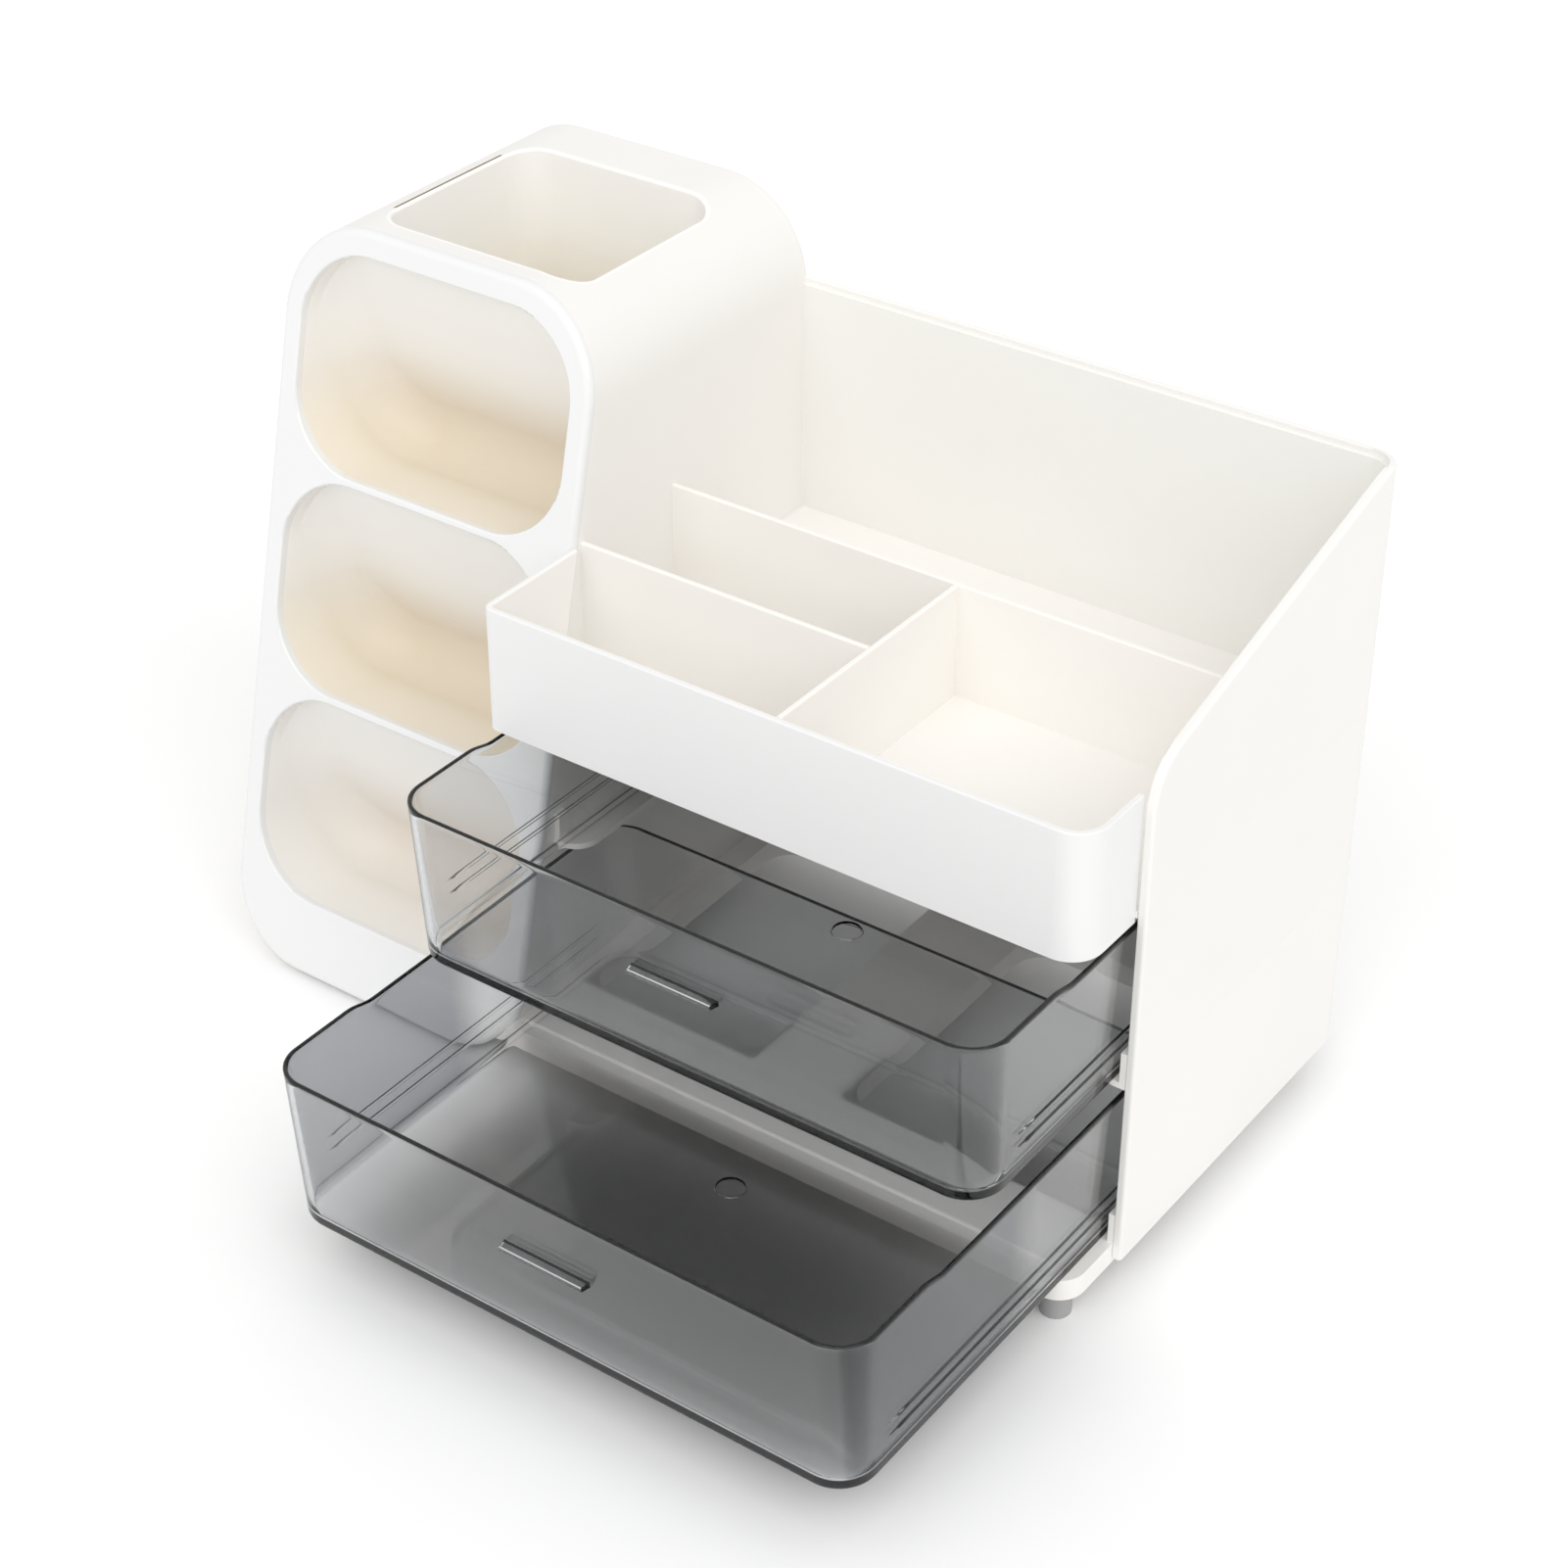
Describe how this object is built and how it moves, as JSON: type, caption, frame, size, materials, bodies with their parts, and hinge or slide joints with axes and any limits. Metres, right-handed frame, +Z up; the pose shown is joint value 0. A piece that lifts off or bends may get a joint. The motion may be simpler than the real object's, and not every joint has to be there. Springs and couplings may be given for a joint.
{
  "type": "makeup organizer",
  "caption": "Desktop makeup organizer: a tower with three pockets and a brush well beside a cabinet with an open divided tray over clear sliding drawers.",
  "frame": {"origin": "on the ground under the middle of the organizer as it stands, lower drawer pulled out", "axes": "+Z up, the front with the drawers faces -Y, +X to the right as seen from the front"},
  "size_m": [0.3294, 0.27, 0.2465],
  "materials": {
    "body_cream": "smooth satin moulding, warm white",
    "face_white": "glossy, neutral white",
    "tray_white": "smooth satin moulding, white",
    "smoke_clear": "lightly smoke-tinted clear plastic, polished",
    "foot_grey": "matt grey"
  },
  "bodies": {
    "organizer": {"tower_shell": "body_cream", "tower_face": "face_white", "lower_pocket": "body_cream", "middle_pocket": "body_cream", "upper_pocket": "body_cream", "brush_well": "body_cream", "side_panel": "body_cream", "back_panel": "body_cream", "top_tray": "tray_white", "rear_divider": "body_cream", "centre_divider": "body_cream", "cross_divider": "body_cream", "left_runner": "body_cream", "right_runner": "body_cream", "base_frame": "body_cream", "front_foot": "foot_grey", "rear_foot": "foot_grey", "front_left_pad": "foot_grey", "front_right_pad": "foot_grey", "rear_left_pad": "foot_grey", "rear_right_pad": "foot_grey"},
    "upper_drawer": {"upper_drawer": "smoke_clear"},
    "lower_drawer": {"lower_drawer": "smoke_clear"}
  },
  "joints": [
    {"name": "upper_drawer_slide", "type": "slide", "parent": "organizer", "child": "upper_drawer", "axis": [0, -1, 0], "range_m": [-0.0458, 0.0692]},
    {"name": "lower_drawer_slide", "type": "slide", "parent": "organizer", "child": "lower_drawer", "axis": [0, -1, 0], "range_m": [-0.1048, 0.0102]}
  ]
}
